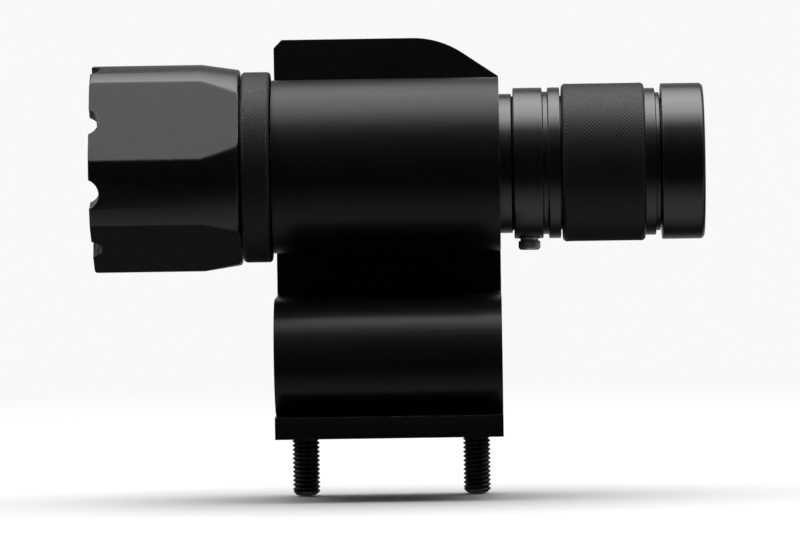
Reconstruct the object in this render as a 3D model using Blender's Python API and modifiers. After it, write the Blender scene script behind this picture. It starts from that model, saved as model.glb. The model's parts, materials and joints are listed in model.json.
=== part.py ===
"""Firefighter's flashlight in its helmet-brim clip, as an assembly of separate pieces.

The flat seat of the clip's jaw, which rests on top of the helmet brim, is at the origin. +X runs
along the lamp towards its tail, -Y faces away from the helmet and +Z is up. Lengths are in metres.

Turned pieces are drawn as (station, radius) pairs: a station is a distance along the lamp axis
from the clip's middle towards the tail. Threads are plain cylinders with a running clearance.
"""

import math

import bmesh
import bpy
from mathutils import Matrix

MM = 0.001
GAP = 0.3 * MM  # between two pieces that rest on each other
FIT = 0.25 * MM  # radial clearance where one piece turns or slides in another
PAST = 1.0 * MM  # how far a cutter reaches beyond what it cuts
FINE = 36  # sides of a large turned piece
COARSE = 24  # sides of a small or hidden one
QUARTER = math.pi / 2

# Standard pieces, which set the size of the rest
CELL_R = 8.5 * MM
CELL_LENGTH = 34.5 * MM
TUBE_R = 12.7 * MM
CLAMP_R = 2.5 * MM
CLAMP_LENGTH = 25.0 * MM
CLAMP_SOCKET = (2.5 * MM, 3.0 * MM)  # width across the flats, and depth
LOCK_R = 2.0 * MM
LOCK_SOCKET = (2.0 * MM, 1.5 * MM)
SEAL_R = 0.62 * MM  # section of the two body seals
SEAL_GROOVE = (1.15 * MM, 0.8 * MM)  # depth, and half of the width
SEAL_SLACK = 0.04 * MM  # between a seal and the floor of its groove

# Clip, an extrusion: ring for the lamp, plate against the helmet, jaw over the brim
CLIP_LENGTH = 41.3 * MM
RING_R = 15.8 * MM
RING_BORE_R = TUBE_R + FIT
PLATE_THICK = 3.5 * MM
PLATE_RISE = 23.2 * MM  # of the plate's top edge above the lamp axis
PLATE_FLAT_END = 4.9 * MM  # station where the top edge starts to fall
PLATE_CURVE_R = 16.4 * MM
PLATE_SLOPE = 34  # degrees that the top edge slopes after its curve
PLATE_CHAMFER = 1.5 * MM
JAW_GAP = 15.2 * MM
JAW_WALL = 3.0 * MM
SEAT_TO_LAMP = 27.0 * MM
ARM_THICK = 6.85 * MM
ARM_SHORT = 1.8 * MM  # how far the lower arm ends before the plate's back
LEDGE_FRONT = 9.8 * MM  # of the lower arm's edge outwards from the jaw's centre line
LEDGE_DROP = 10.5 * MM  # of the ledge's top face below the jaw's centre line
CLAMP_STATION = 15.7 * MM
CLAMP_STICK_OUT = 11.5 * MM  # of the screws below the lower arm
CLAMP_NOSE_R = 1.5 * MM
CLAMP_NOSE_LENGTH = 1.8 * MM
PAD_R = 4.5 * MM
PAD_THICK = 3.4 * MM
PAD_RECESS = 2.2 * MM

JAW_R = JAW_GAP / 2
LAMP_Y = -RING_R / 2
LAMP_Z = SEAT_TO_LAMP
JAW_Y = LAMP_Y - RING_R + JAW_R + JAW_WALL  # the jaw's front is level with the ring's
PLATE_BACK = LAMP_Y + RING_R
PLATE_FRONT = PLATE_BACK - PLATE_THICK
PLATE_TOP = LAMP_Z + PLATE_RISE
ARM_BOTTOM = -JAW_GAP - ARM_THICK
CLAMP_BOTTOM = ARM_BOTTOM - CLAMP_STICK_OUT
CLAMP_TOP = CLAMP_BOTTOM + CLAMP_LENGTH

# Head, from the clip forwards
COLLAR_R = 17.4 * MM
COLLAR_LENGTH = 5.2 * MM
BEZEL_R = 18.85 * MM
BEZEL_LENGTH = 27.0 * MM
BEZEL_TAPER_LENGTH = 6.9 * MM
BEZEL_TAPER_R = 17.8 * MM
BEZEL_FLAT = 16.85 * MM  # distance of the milled flats from the axis
FLAT_TURN = math.radians(-122)  # direction of the first flat and the first notch
FLATS = 4
NOTCHES = 8
NOTCH_R = 2.8 * MM
NOTCH_DEPTH = 1.8 * MM
LIP_LENGTH = 2.8 * MM
LIP_R = 13.8 * MM
BEZEL_BORE_R = 15.0 * MM
GASKET_R = 0.5 * MM
LENS_R = 14.7 * MM
LENS_THICK = 2.0 * MM
REFLECTOR_LENGTH = 13.0 * MM
REFLECTOR_R = 13.5 * MM
REFLECTOR_HOLE_R = 3.2 * MM
REFLECTOR_WALL = 1.0 * MM
SLEEVE_R = BEZEL_BORE_R - GAP
SLEEVE_LENGTH = 12.9 * MM
SLEEVE_BORE_R = 11.2 * MM
HEAD_SEAT = 5.0 * MM  # of the heat sink's front shoulder ahead of the collar
HEAD_SEAL_LEAD = 2.9 * MM  # of the head seal's middle ahead of the collar
LED_SIZE = 3.5 * MM
LED_THICK = 0.8 * MM
LED_DOME_R = 1.3 * MM
LED_RING_R = 5.0 * MM
LED_RING_THICK = 0.8 * MM
LED_BOARD_R = 8.0 * MM
HEAT_SINK_R = 12.0 * MM
HEAT_SINK_LENGTH = 4.9 * MM
HEAT_SINK_PLATE = 2.0 * MM
HEAT_SINK_WELL_R = 10.4 * MM
DRIVER_R = 9.8 * MM
DRIVER_THICK = 1.0 * MM
WIRE_R = 0.35 * MM
WIRE_HOLE_R = 0.8 * MM
WIRE_PLACE = 6.8 * MM  # distance of the two wires from the lamp axis

CLIP_END = CLIP_LENGTH / 2
COLLAR_REAR = -CLIP_END - GAP
COLLAR_FRONT = COLLAR_REAR - COLLAR_LENGTH
BEZEL_REAR = COLLAR_FRONT - GAP
BEZEL_FRONT = BEZEL_REAR - BEZEL_LENGTH
LIP_REAR = BEZEL_FRONT + LIP_LENGTH
GASKET_STATION = LIP_REAR + GAP + GASKET_R
LENS_FRONT = GASKET_STATION + GASKET_R + GAP
REFLECTOR_FRONT = LENS_FRONT + LENS_THICK + GAP
REFLECTOR_REAR = REFLECTOR_FRONT + REFLECTOR_LENGTH
LED_BOARD_FRONT = REFLECTOR_REAR + LED_RING_THICK + 2 * GAP
HEAT_SINK_FRONT = COLLAR_FRONT - HEAD_SEAT + GAP
LED_BOARD_REAR = HEAT_SINK_FRONT - GAP
HEAT_SINK_REAR = HEAT_SINK_FRONT + HEAT_SINK_LENGTH
WELL_FRONT = HEAT_SINK_FRONT + HEAT_SINK_PLATE
DRIVER_FRONT = WELL_FRONT + 3 * GAP
DRIVER_REAR = DRIVER_FRONT + DRIVER_THICK

# Body, from the head backwards
TUBE_BORE_R = 9.5 * MM
THREAD_R = 12.0 * MM
STEP_R = 12.2 * MM  # of the tube under the stop collar and the tail cap
STOP_R = 13.75 * MM
STOP_GROOVE_R = 13.0 * MM
LOCK_BOTTOM_R = 15.8 * MM  # how far the lock screw's outer end is from the axis
LOCK_TIP_R = 11.7 * MM
GRIP_STATION = 13.0 * MM
GRIP_RING_R = 0.65 * MM  # section of the rings that the clip grips
GRIP_GROOVE = (1.2 * MM, 0.9 * MM)
NUB_R = 3.2 * MM
NUB_LENGTH = 1.0 * MM
CELL_EDGE = 0.5 * MM
SPRING_WIRE_R = 0.4 * MM
SPRING_TURNS = 3
DRIVER_SPRING_ROOM = 3.0 * MM
DRIVER_SPRING_R = (4.2 * MM, 2.4 * MM)
TAIL_SPRING_R = (3.2 * MM, 5.6 * MM)

TUBE_FRONT = HEAT_SINK_REAR + GAP
CELL_FRONT = DRIVER_REAR + DRIVER_SPRING_ROOM + 2 * GAP
CELL_MIDDLE = CELL_FRONT + CELL_LENGTH + GAP
CELL_REAR = CELL_MIDDLE + CELL_LENGTH
STOP_FRONT = 23.2 * MM
STOP_GROOVE = (28.5 * MM, 29.5 * MM)
LOCK_STATION = 25.9 * MM
CAP_FRONT = 32.0 * MM
STOP_REAR = CAP_FRONT - GAP
TUBE_REAR = 43.0 * MM
TAIL_SEAL_STATION = 33.8 * MM

# Tail: cap, switch and push button
CAP_R = 14.4 * MM
CAP_REAR = 47.1 * MM
CAP_ROUND = 0.8 * MM
NECK_R = 13.4 * MM
NECK_REAR = 49.0 * MM
GROOVE_R = 12.6 * MM
RING_FRONT = 50.1 * MM
SPIGOT_R = 11.6 * MM
SPIGOT_REAR = 53.0 * MM
SWITCH_SEAL_STATION = 51.4 * MM
SWITCH_SEAL_R = 0.5 * MM
SWITCH_SEAL_GROOVE = (1.0 * MM, 0.6 * MM)
CAP_BORE_R = STEP_R + FIT
CELL_POCKET_R = 8.8 * MM
SWITCH_POCKET_R = 9.6 * MM
SWITCH_POCKET_FRONT = 49.6 * MM
TAIL_RING_R = 14.2 * MM
TAIL_END = 57.8 * MM
BUTTON_HOLE_R = 6.85 * MM
BUTTON_LIP_FRONT = 56.2 * MM
BUTTON_R = 6.5 * MM
BUTTON_FACE = 57.2 * MM
FLANGE_R = 8.6 * MM
FLANGE_THICK = 0.9 * MM
BOARD_THICK = 1.0 * MM
SWITCH_SIDE = 7.8 * MM
SWITCH_REAR = 54.3 * MM
SWITCH_WALL = 0.4 * MM
RETAINER_SLOT = (5.0 * MM, 2.0 * MM, 1.6 * MM)
PLUNGER_R = 1.8 * MM
BUTTON_WALL = 1.2 * MM
PLUNGER_FRONT = 53.5 * MM

BLACK_ANODISE = ("black_anodise", (0.018, 0.018, 0.02), 0.38, 0.6)
BLACK_STEEL = ("black_oxide_steel", (0.03, 0.03, 0.03), 0.45, 0.8)
STEEL = ("stainless_steel", (0.55, 0.55, 0.56), 0.3, 1.0)
SPRING_STEEL = ("spring_steel", (0.6, 0.58, 0.52), 0.3, 1.0)
BARE_ALUMINIUM = ("bare_aluminium", (0.75, 0.76, 0.78), 0.35, 1.0)
MIRROR = ("reflector_coat", (0.9, 0.9, 0.92), 0.05, 1.0)
GLASS = ("lens_glass", (0.85, 0.9, 0.92), 0.05, 0.0)
RUBBER = ("black_rubber", (0.02, 0.02, 0.02), 0.8, 0.0)
BRASS = ("brass", (0.75, 0.6, 0.3), 0.35, 1.0)
BOARD = ("circuit_board", (0.05, 0.2, 0.1), 0.5, 0.0)
WHITE = ("white_plastic", (0.8, 0.8, 0.78), 0.5, 0.0)
BLACK_PLASTIC = ("black_plastic", (0.03, 0.03, 0.03), 0.5, 0.0)
PHOSPHOR = ("led_phosphor", (0.9, 0.8, 0.25), 0.4, 0.0)
CELL_SLEEVE = ("cell_sleeve", (0.1, 0.22, 0.4), 0.4, 0.0)
RED_WIRE = ("red_wire", (0.6, 0.05, 0.04), 0.5, 0.0)
BLACK_WIRE = ("black_wire", (0.02, 0.02, 0.02), 0.5, 0.0)


def clear_scene():
    for item in list(bpy.data.objects):
        bpy.data.objects.remove(item)


def new_collection(name):
    collection = bpy.data.collections.new(name)
    bpy.context.scene.collection.children.link(collection)
    return collection


def material(finish):
    name, colour, roughness, metallic = finish
    found = bpy.data.materials.get(name)
    if found:
        return found
    made = bpy.data.materials.new(name)
    made.use_nodes = True
    shader = made.node_tree.nodes["Principled BSDF"]
    shader.inputs["Base Color"].default_value = (*colour, 1.0)
    shader.inputs["Roughness"].default_value = roughness
    shader.inputs["Metallic"].default_value = metallic
    return made


def placed(name, data, finish=None, parent=None, location=(0, 0, 0)):
    """A part with a finish, or a hidden cutter without one."""
    item = bpy.data.objects.new(name, data)
    item.parent = parent
    item.location = location
    if finish:
        parts.objects.link(item)
        data.materials.append(material(finish))
    else:
        cutters.objects.link(item)
        item.hide_render = True
        item.display_type = "WIRE"
    return item


def axis_empty(name, location, rotation):
    empty = bpy.data.objects.new(name, None)
    parts.objects.link(empty)
    empty.location = location
    empty.rotation_euler = rotation
    return empty


def arc(centre, radius, start, end, steps):
    """Points on a circle from one angle to another, in degrees, both ends included."""
    turns = [math.radians(start + (end - start) * i / steps) for i in range(steps + 1)]
    return [(centre[0] + radius * math.cos(t), centre[1] + radius * math.sin(t)) for t in turns]


def signed_area(points):
    pairs = zip(points, points[1:] + points[:1])
    return sum(a[0] * b[1] - b[0] * a[1] for a, b in pairs) / 2


def turned(name, outline, finish, parent, sides=COARSE, location=(0, 0, 0)):
    """A profile of (station, radius) pairs, turned about its parent's Z axis.

    An outline that touches the axis stays open there, and any other is closed.
    """
    solid = outline[0][1] == 0
    if signed_area(outline) < 0:
        outline = outline[::-1]
    mesh = bpy.data.meshes.new(name)
    count = len(outline)
    edges = [(i, i + 1) for i in range(count - 1)]
    if solid:
        start = [i for i in range(count) if outline[i][1] == 0 and outline[i - 1][1] == 0][0]
        outline = outline[start:] + outline[:start]
    else:
        edges.append((count - 1, 0))
    mesh.from_pydata([(radius, 0, station) for station, radius in outline], edges, [])
    item = placed(name, mesh, finish, parent, location)
    screw = item.modifiers.new("turn", "SCREW")
    screw.axis = "Z"
    screw.steps = sides
    screw.render_steps = sides
    screw.use_merge_vertices = True
    screw.merge_threshold = 0.005 * MM
    return item


def disc(front, rear, radius, chamfer=0.0):
    """The outline of a solid disc, with both its edges chamfered."""
    outline = [(front, 0), (front, radius - chamfer)]
    if chamfer:
        outline += [(front + chamfer, radius), (rear - chamfer, radius)]
    return outline + [(rear, radius - chamfer), (rear, 0)]


def tube_outline(front, rear, inner, outer, chamfer=0.0):
    """The outline of a plain ring, with its outer edges chamfered."""
    outline = [(front, inner), (front, outer - chamfer)]
    if chamfer:
        outline += [(front + chamfer, outer), (rear - chamfer, outer)]
    return outline + [(rear, outer - chamfer), (rear, inner)]


def seal(name, station, floor_r, section_r, parent):
    """A rubber ring of round section, lying round the floor of a groove."""
    bpy.ops.mesh.primitive_torus_add(
        major_radius=floor_r + SEAL_SLACK + section_r,
        minor_radius=section_r,
        major_segments=28,
        minor_segments=5,
    )
    made = bpy.context.object.data
    bpy.data.objects.remove(bpy.context.object)
    made.name = name
    made.shade_smooth()
    return placed(name, made, RUBBER, parent, (0, 0, station))


def extruded(name, outline, length):
    """A flat outline given a thickness about its own plane, as a mesh ready to be cut."""
    curve = bpy.data.curves.new(name, "CURVE")
    curve.dimensions = "2D"
    curve.fill_mode = "BOTH"
    curve.extrude = length / 2
    spline = curve.splines.new("POLY")
    spline.points.add(len(outline) - 1)
    for point, (x, y) in zip(spline.points, outline):
        point.co = (x, y, 0, 1)
    spline.use_cyclic_u = True
    holder = placed(name, curve)
    graph = bpy.context.evaluated_depsgraph_get()
    mesh = bpy.data.meshes.new_from_object(holder.evaluated_get(graph))
    bpy.data.objects.remove(holder)
    shape = bmesh.new()
    shape.from_mesh(mesh)
    bmesh.ops.remove_doubles(shape, verts=shape.verts, dist=0.001 * MM)
    bmesh.ops.recalc_face_normals(shape, faces=shape.faces)
    shape.to_mesh(mesh)
    shape.free()
    return mesh


def cylinders(name, radius, low, high, places, sides=COARSE, parent=None):
    """A cutter of cylinders. Each place is a matrix, and the cylinder runs along its Z axis."""
    shape = bmesh.new()
    for place in places:
        bmesh.ops.create_cone(
            shape,
            cap_ends=True,
            segments=sides,
            radius1=radius,
            radius2=radius,
            depth=high - low,
            matrix=place @ Matrix.Translation((0, 0, (low + high) / 2)),
        )
    mesh = bpy.data.meshes.new(name)
    shape.to_mesh(mesh)
    shape.free()
    return placed(name, mesh, parent=parent)


def blocks(name, size, places, parent=None):
    """A cutter of boxes, each centred on its place."""
    shape = bmesh.new()
    for place in places:
        bmesh.ops.create_cube(shape, size=1, matrix=place @ Matrix.Diagonal((*size, 1)))
    mesh = bpy.data.meshes.new(name)
    shape.to_mesh(mesh)
    shape.free()
    return placed(name, mesh, parent=parent)


def combine(item, other, operation="DIFFERENCE"):
    boolean = item.modifiers.new(other.name, "BOOLEAN")
    boolean.operation = operation
    boolean.object = other


def about_axis(turn):
    return Matrix.Rotation(turn, 4, "Z")


def clip_section():
    """The clip's outline across the lamp, as (y, z) pairs, starting at the plate's top."""
    lamp = (LAMP_Y, LAMP_Z)
    jaw = (JAW_Y, -JAW_R)
    meet = math.degrees(math.acos((PLATE_FRONT - LAMP_Y) / RING_R))
    outer = JAW_R + JAW_WALL
    ledge_meet = math.degrees(math.asin(LEDGE_DROP / outer))
    ledge_front = JAW_Y - LEDGE_FRONT
    arm_end = PLATE_BACK - ARM_SHORT
    outline = [(PLATE_BACK, PLATE_TOP), (PLATE_FRONT, PLATE_TOP)]
    outline += arc(lamp, RING_R, meet, 360 - meet, 40)
    outline += [(PLATE_FRONT, JAW_WALL)]
    outline += arc(jaw, outer, 90, 180 + ledge_meet, 18)
    outline += [(ledge_front, -JAW_R - LEDGE_DROP), (ledge_front, ARM_BOTTOM)]
    outline += [(arm_end, ARM_BOTTOM), (arm_end, -JAW_GAP)]
    outline += arc(jaw, JAW_R, 270, 90, 16)
    outline += [(PLATE_BACK, 0)]
    return outline


def plate_corner():
    """What is taken off the plate's rear top corner, as (x, z) pairs: a curve, then a slope."""
    centre = (PLATE_FLAT_END, PLATE_TOP - PLATE_CURVE_R)
    curve = arc(centre, PLATE_CURVE_R, 90, 90 - PLATE_SLOPE, 8)
    side = CLIP_END + PAST
    fall = (side - curve[-1][0]) * math.tan(math.radians(PLATE_SLOPE))
    high = PLATE_TOP + PAST
    return curve + [(side, curve[-1][1] - fall), (side, high), (PLATE_FLAT_END, high)]


def make_clip():
    mesh = extruded("clip", clip_section(), CLIP_LENGTH)
    clip = placed("clip", mesh, BLACK_ANODISE)
    clip.rotation_euler = (QUARTER, 0, QUARTER)
    lamp = Matrix.Translation((0, LAMP_Y, LAMP_Z)) @ Matrix.Rotation(QUARTER, 4, "Y")
    bore = cylinders("ring_bore", RING_BORE_R, -CLIP_LENGTH, CLIP_LENGTH, [lamp], FINE)
    combine(clip, bore)
    taps = [Matrix.Translation((side * CLAMP_STATION, 0, 0)) for side in (-1, 1)]
    low, high = ARM_BOTTOM - PAST, -JAW_GAP + PAST
    combine(clip, cylinders("clamp_taps", CLAMP_R + FIT, low, high, taps))
    corner = placed("plate_corner", extruded("plate_corner", plate_corner(), 4 * PLATE_THICK))
    corner.rotation_euler = (QUARTER, 0, 0)
    corner.location = (0, PLATE_BACK, 0)
    combine(clip, corner)
    tilt = Matrix.Translation((-CLIP_END, PLATE_BACK, PLATE_TOP)) @ Matrix.Rotation(QUARTER / 2, 4, "Y")
    side = PLATE_CHAMFER * math.sqrt(2)
    combine(clip, blocks("plate_chamfer", (side, 4 * PLATE_THICK, side), [tilt]))


def cut_socket(screw, bottom, size):
    """A hexagon socket in the screw's lower end."""
    across, depth = size
    place = Matrix.Translation(screw.location)
    radius = across / math.sqrt(3)
    socket = cylinders(screw.name + "_socket", radius, bottom - PAST, bottom + depth, [place], 6)
    combine(screw, socket)


def make_clamp_screw(name, station):
    chamfer = 0.5 * MM
    nose_top = CLAMP_TOP + CLAMP_NOSE_LENGTH
    outline = disc(CLAMP_BOTTOM, CLAMP_TOP, CLAMP_R, chamfer)[:-1]
    outline += [(CLAMP_TOP, CLAMP_NOSE_R), (nose_top, CLAMP_NOSE_R), (nose_top, 0)]
    screw = turned(name, outline, BLACK_STEEL, None, COARSE, (station, 0, 0))
    cut_socket(screw, CLAMP_BOTTOM, CLAMP_SOCKET)


def make_clamp_pad(name, station):
    bottom = CLAMP_TOP + GAP
    top = bottom + PAD_THICK
    recess_r = CLAMP_NOSE_R + FIT
    recess_top = bottom + PAD_RECESS
    chamfer = 0.5 * MM
    outline = [(recess_top, 0), (recess_top, recess_r), (bottom, recess_r), (bottom, PAD_R - chamfer)]
    outline += [(bottom + chamfer, PAD_R), (top - chamfer, PAD_R), (top, PAD_R - chamfer), (top, 0)]
    turned(name, outline, BLACK_PLASTIC, None, COARSE, (station, 0, 0))


def make_bezel(lamp):
    chamfer = 0.5 * MM
    taper_front = BEZEL_REAR - BEZEL_TAPER_LENGTH
    outline = [
        (BEZEL_REAR, BEZEL_TAPER_R),
        (taper_front, BEZEL_R),
        (BEZEL_FRONT + chamfer, BEZEL_R),
        (BEZEL_FRONT, BEZEL_R - chamfer),
        (BEZEL_FRONT, LIP_R),
        (LIP_REAR, LIP_R),
        (LIP_REAR, BEZEL_BORE_R),
        (BEZEL_REAR, BEZEL_BORE_R),
    ]
    bezel = turned("bezel", outline, BLACK_ANODISE, lamp, FINE)
    depth = 2 * (BEZEL_R - BEZEL_FLAT)
    out = Matrix.Translation((BEZEL_FLAT + depth / 2, 0, (BEZEL_FRONT + BEZEL_REAR) / 2))
    turns = [about_axis(FLAT_TURN + math.tau * i / FLATS) for i in range(FLATS)]
    size = (depth, 2 * BEZEL_R, BEZEL_LENGTH + 2 * PAST)
    combine(bezel, blocks("bezel_flats", size, [turn @ out for turn in turns], lamp))
    centre = Matrix.Translation((0, 0, BEZEL_FRONT + NOTCH_DEPTH - NOTCH_R))
    outwards = centre @ Matrix.Rotation(QUARTER, 4, "Y")
    turns = [about_axis(FLAT_TURN + math.tau * i / NOTCHES) for i in range(NOTCHES)]
    low, high = LIP_R - 2 * PAST, BEZEL_R + PAST
    places = [turn @ outwards for turn in turns]
    combine(bezel, cylinders("bezel_notches", NOTCH_R, low, high, places, COARSE, lamp))


def make_lens(lamp):
    outline = disc(LENS_FRONT, LENS_FRONT + LENS_THICK, LENS_R, 0.3 * MM)
    turned("lens", outline, GLASS, lamp)
    seal("lens_gasket", GASKET_STATION, LENS_R - 2 * GASKET_R - SEAL_SLACK, GASKET_R, lamp)


def reflector_curve(steps):
    """The parabola from the hole out to the rim, as (station, radius) pairs."""
    grow = (REFLECTOR_R**2 - REFLECTOR_HOLE_R**2) / REFLECTOR_LENGTH
    radii = [REFLECTOR_HOLE_R + (REFLECTOR_R - REFLECTOR_HOLE_R) * i / steps for i in range(steps + 1)]
    return [(REFLECTOR_REAR - (r**2 - REFLECTOR_HOLE_R**2) / grow, r) for r in radii]


def make_reflector(lamp):
    inside = reflector_curve(6)
    rim_rear = REFLECTOR_FRONT + 1.2 * MM
    neck_r = LED_RING_R
    outside = [(s + REFLECTOR_WALL, r + REFLECTOR_WALL) for s, r in inside]
    outside = [(s, r) for s, r in outside if r > neck_r and s > rim_rear + 0.5 * MM]
    rim = [(REFLECTOR_FRONT, REFLECTOR_R + REFLECTOR_WALL), (rim_rear, REFLECTOR_R + REFLECTOR_WALL)]
    outline = inside + rim + outside[::-1] + [(REFLECTOR_REAR, neck_r)]
    turned("reflector", outline, MIRROR, lamp)


def make_led(lamp):
    base_front = LED_BOARD_FRONT - GAP - LED_THICK
    mesh = blocks(
        "led_base",
        (LED_SIZE, LED_SIZE, LED_THICK),
        [Matrix.Translation((0, 0, base_front + LED_THICK / 2))],
    )
    emitter = placed("led_emitter", mesh.data, PHOSPHOR, lamp)
    bpy.data.objects.remove(mesh)
    shape = bmesh.new()
    bmesh.ops.create_uvsphere(shape, u_segments=16, v_segments=10, radius=LED_DOME_R)
    dome = bpy.data.meshes.new("led_dome")
    shape.to_mesh(dome)
    shape.free()
    dome_station = base_front - LED_DOME_R + LED_THICK - 0.1 * MM
    combine(emitter, placed("led_dome", dome, None, lamp, (0, 0, dome_station)), "UNION")
    ring_rear = LED_BOARD_FRONT - GAP
    hole_r = LED_SIZE / math.sqrt(2) + FIT
    outline = tube_outline(REFLECTOR_REAR + GAP, ring_rear, hole_r, LED_RING_R)
    turned("led_centering_ring", outline, WHITE, lamp)


def wire_places():
    return [Matrix.Translation((0, side * WIRE_PLACE, 0)) for side in (-1, 1)]


def make_led_board(lamp):
    board = turned("led_board", disc(LED_BOARD_FRONT, LED_BOARD_REAR, LED_BOARD_R), WHITE, lamp)
    low, high = LED_BOARD_FRONT - PAST, LED_BOARD_REAR + PAST
    combine(board, cylinders("board_holes", WIRE_HOLE_R, low, high, wire_places(), 10, lamp))


def make_heat_sink(lamp):
    outline = [
        (HEAT_SINK_FRONT, 0),
        (HEAT_SINK_FRONT, HEAT_SINK_R),
        (HEAT_SINK_REAR, HEAT_SINK_R),
        (HEAT_SINK_REAR, HEAT_SINK_WELL_R),
        (WELL_FRONT, HEAT_SINK_WELL_R),
        (WELL_FRONT, 0),
    ]
    sink = turned("heat_sink", outline, BARE_ALUMINIUM, lamp)
    low, high = HEAT_SINK_FRONT - PAST, WELL_FRONT + PAST
    combine(sink, cylinders("sink_holes", WIRE_HOLE_R, low, high, wire_places(), 10, lamp))


def wire(name, points, radius, finish, parent, sides=0):
    """A round wire through the points."""
    curve = bpy.data.curves.new(name, "CURVE")
    curve.dimensions = "3D"
    curve.bevel_depth = radius
    curve.bevel_resolution = sides
    curve.use_fill_caps = True
    spline = curve.splines.new("POLY")
    spline.points.add(len(points) - 1)
    for point, place in zip(spline.points, points):
        point.co = (*place, 1)
    return placed(name, curve, finish, parent)


def make_led_wire(name, side, finish, lamp):
    """From the driver board through the heat sink, and over onto the LED board."""
    out = side * WIRE_PLACE
    pad = side * (WIRE_PLACE - 1.2 * MM)
    top = LED_BOARD_FRONT - GAP - WIRE_R
    points = [(0, out, DRIVER_FRONT - GAP), (0, out, top + WIRE_R)]
    points += [(0, out - side * WIRE_R, top), (0, pad, top)]
    wire(name, points, WIRE_R, finish, lamp, 1)


def coil(name, front, rear, radii, parent):
    """A coned compression spring, its wire inside the two stations."""
    front_r, rear_r = radii
    count = SPRING_TURNS * 12
    first, last = front + SPRING_WIRE_R, rear - SPRING_WIRE_R
    points = []
    for i in range(count + 1):
        share = i / count
        radius = front_r + (rear_r - front_r) * share
        turn = math.tau * SPRING_TURNS * share
        station = first + (last - first) * share
        points.append((radius * math.cos(turn), radius * math.sin(turn), station))
    wire(name, points, SPRING_WIRE_R, SPRING_STEEL, parent, 1)


def make_driver(lamp):
    turned("driver_board", disc(DRIVER_FRONT, DRIVER_REAR, DRIVER_R), BOARD, lamp)
    coil("driver_spring", DRIVER_REAR + GAP, CELL_FRONT - GAP, DRIVER_SPRING_R, lamp)


def make_head_housing(lamp):
    """The knurled collar and the sleeve that the bezel screws onto."""
    front = COLLAR_FRONT - SLEEVE_LENGTH
    chamfer = 0.4 * MM
    seal_station = COLLAR_FRONT - HEAD_SEAL_LEAD
    shoulder = COLLAR_FRONT - HEAD_SEAT
    bore_r = HEAT_SINK_R + FIT
    outline = [(front, SLEEVE_BORE_R), (front, SLEEVE_R)]
    outline += grooved([seal_station], SLEEVE_R, SEAL_GROOVE)
    outline += [
        (COLLAR_FRONT, SLEEVE_R),
        (COLLAR_FRONT, COLLAR_R - chamfer),
        (COLLAR_FRONT + chamfer, COLLAR_R),
        (COLLAR_REAR - chamfer, COLLAR_R),
        (COLLAR_REAR, COLLAR_R - chamfer),
        (COLLAR_REAR, bore_r),
        (shoulder, bore_r),
        (shoulder, SLEEVE_BORE_R),
    ]
    turned("head_housing", outline, BLACK_ANODISE, lamp, FINE)
    seal("head_seal", seal_station, SLEEVE_R - SEAL_GROOVE[0], SEAL_R, lamp)


def grooved(stations, outer, groove):
    """The outer edge of a tube where it has seal grooves, as (station, radius) pairs."""
    depth, half_width = groove
    outline = []
    for station in stations:
        outline += [
            (station - half_width, outer),
            (station - half_width, outer - depth),
            (station + half_width, outer - depth),
            (station + half_width, outer),
        ]
    return outline


def make_battery_tube(lamp):
    stop = STOP_FRONT - GAP
    outline = [(TUBE_FRONT, TUBE_BORE_R), (TUBE_FRONT, THREAD_R), (COLLAR_REAR + GAP, THREAD_R)]
    outline += [(COLLAR_REAR + GAP, TUBE_R)]
    outline += grooved([-GRIP_STATION, GRIP_STATION], TUBE_R, GRIP_GROOVE)
    outline += [(stop, TUBE_R), (stop, STEP_R)]
    outline += grooved([TAIL_SEAL_STATION], STEP_R, SEAL_GROOVE)
    outline += [(TUBE_REAR, STEP_R), (TUBE_REAR, TUBE_BORE_R)]
    tube = turned("battery_tube", outline, BLACK_ANODISE, lamp, FINE)
    combine(tube, lock_hole("lock_dimple", LOCK_TIP_R - GAP, LOCK_R + GAP, lamp))
    for name, station in (("grip_ring_front", -GRIP_STATION), ("grip_ring_rear", GRIP_STATION)):
        seal(name, station, TUBE_R - GRIP_GROOVE[0], GRIP_RING_R, lamp)
    seal("tail_seal", TAIL_SEAL_STATION, STEP_R - SEAL_GROOVE[0], SEAL_R, lamp)


def lock_hole(name, low, radius, lamp):
    """A cutter for the lock screw's hole, which points straight down from the lamp axis."""
    down = Matrix.Translation((0, 0, LOCK_STATION)) @ Matrix.Rotation(QUARTER, 4, "Y")
    return cylinders(name, radius, low, LOCK_BOTTOM_R + PAST, [down], COARSE, lamp)


def make_stop_collar(lamp):
    chamfer = 0.3 * MM
    bore_r = STEP_R + FIT
    outline = [(STOP_FRONT, bore_r), (STOP_FRONT, STOP_R - chamfer), (STOP_FRONT + chamfer, STOP_R)]
    outline += [(STOP_GROOVE[0], STOP_R), (STOP_GROOVE[0], STOP_GROOVE_R)]
    outline += [(STOP_GROOVE[1], STOP_GROOVE_R), (STOP_GROOVE[1], STOP_R)]
    outline += [(STOP_REAR - chamfer, STOP_R), (STOP_REAR, STOP_R - chamfer), (STOP_REAR, bore_r)]
    collar = turned("stop_collar", outline, BLACK_ANODISE, lamp, FINE)
    combine(collar, lock_hole("lock_thread", STEP_R - PAST, LOCK_R + GAP / 2, lamp))


def make_lock_screw():
    bottom = LAMP_Z - LOCK_BOTTOM_R
    top = LAMP_Z - LOCK_TIP_R
    outline = disc(bottom, top, LOCK_R, 0.3 * MM)
    screw = turned("lock_screw", outline, STEEL, None, COARSE, (LOCK_STATION, LAMP_Y, 0))
    cut_socket(screw, bottom, LOCK_SOCKET)


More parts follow.
